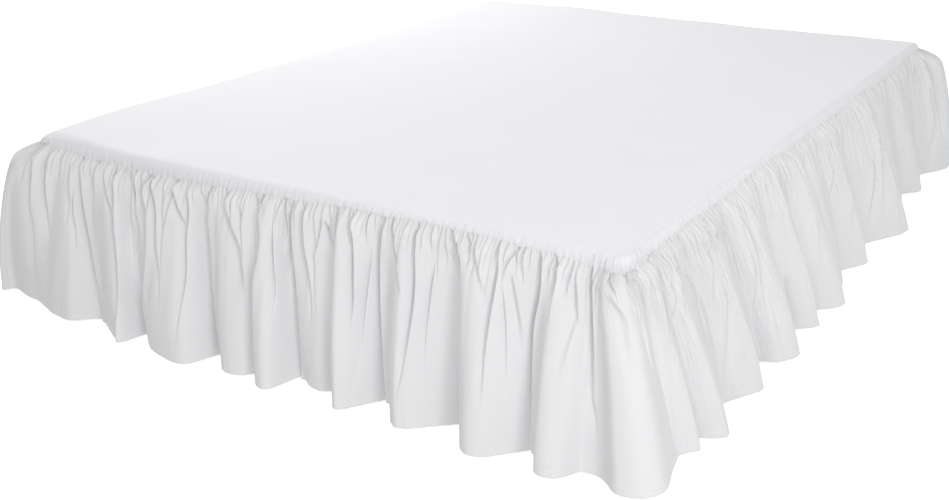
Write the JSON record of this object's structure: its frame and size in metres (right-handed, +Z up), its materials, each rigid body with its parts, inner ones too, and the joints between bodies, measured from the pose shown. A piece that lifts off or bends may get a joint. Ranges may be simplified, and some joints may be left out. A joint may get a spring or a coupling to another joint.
{
  "type": "bed skirt on a bed base",
  "caption": "Gathered bed skirt: a flat deck panel with a long ruffle hanging in uneven folds round the foot and long sides of the plain bed base that it is laid over.",
  "frame": {"origin": "on the floor under the middle of the bed", "axes": "+Z up, +Y towards the head of the bed, +X towards the right-hand side seen from its foot"},
  "size_m": [1.8458, 2.3552, 0.38],
  "materials": {
    "base_ticking": "plain woven ticking",
    "leg_plastic": "matte moulded plastic",
    "deck_cloth": "smooth brushed microfibre, white",
    "ruffle_cloth": "smooth brushed microfibre, white, gathered"
  },
  "bodies": {
    "root": {"bed_base": "base_ticking", "base_leg_foot_left": "leg_plastic", "base_leg_foot_right": "leg_plastic", "base_leg_middle_left": "leg_plastic", "base_leg_middle_right": "leg_plastic", "base_leg_head_left": "leg_plastic", "base_leg_head_right": "leg_plastic", "deck_panel": "deck_cloth", "ruffle": "ruffle_cloth"}
  },
  "joints": []
}
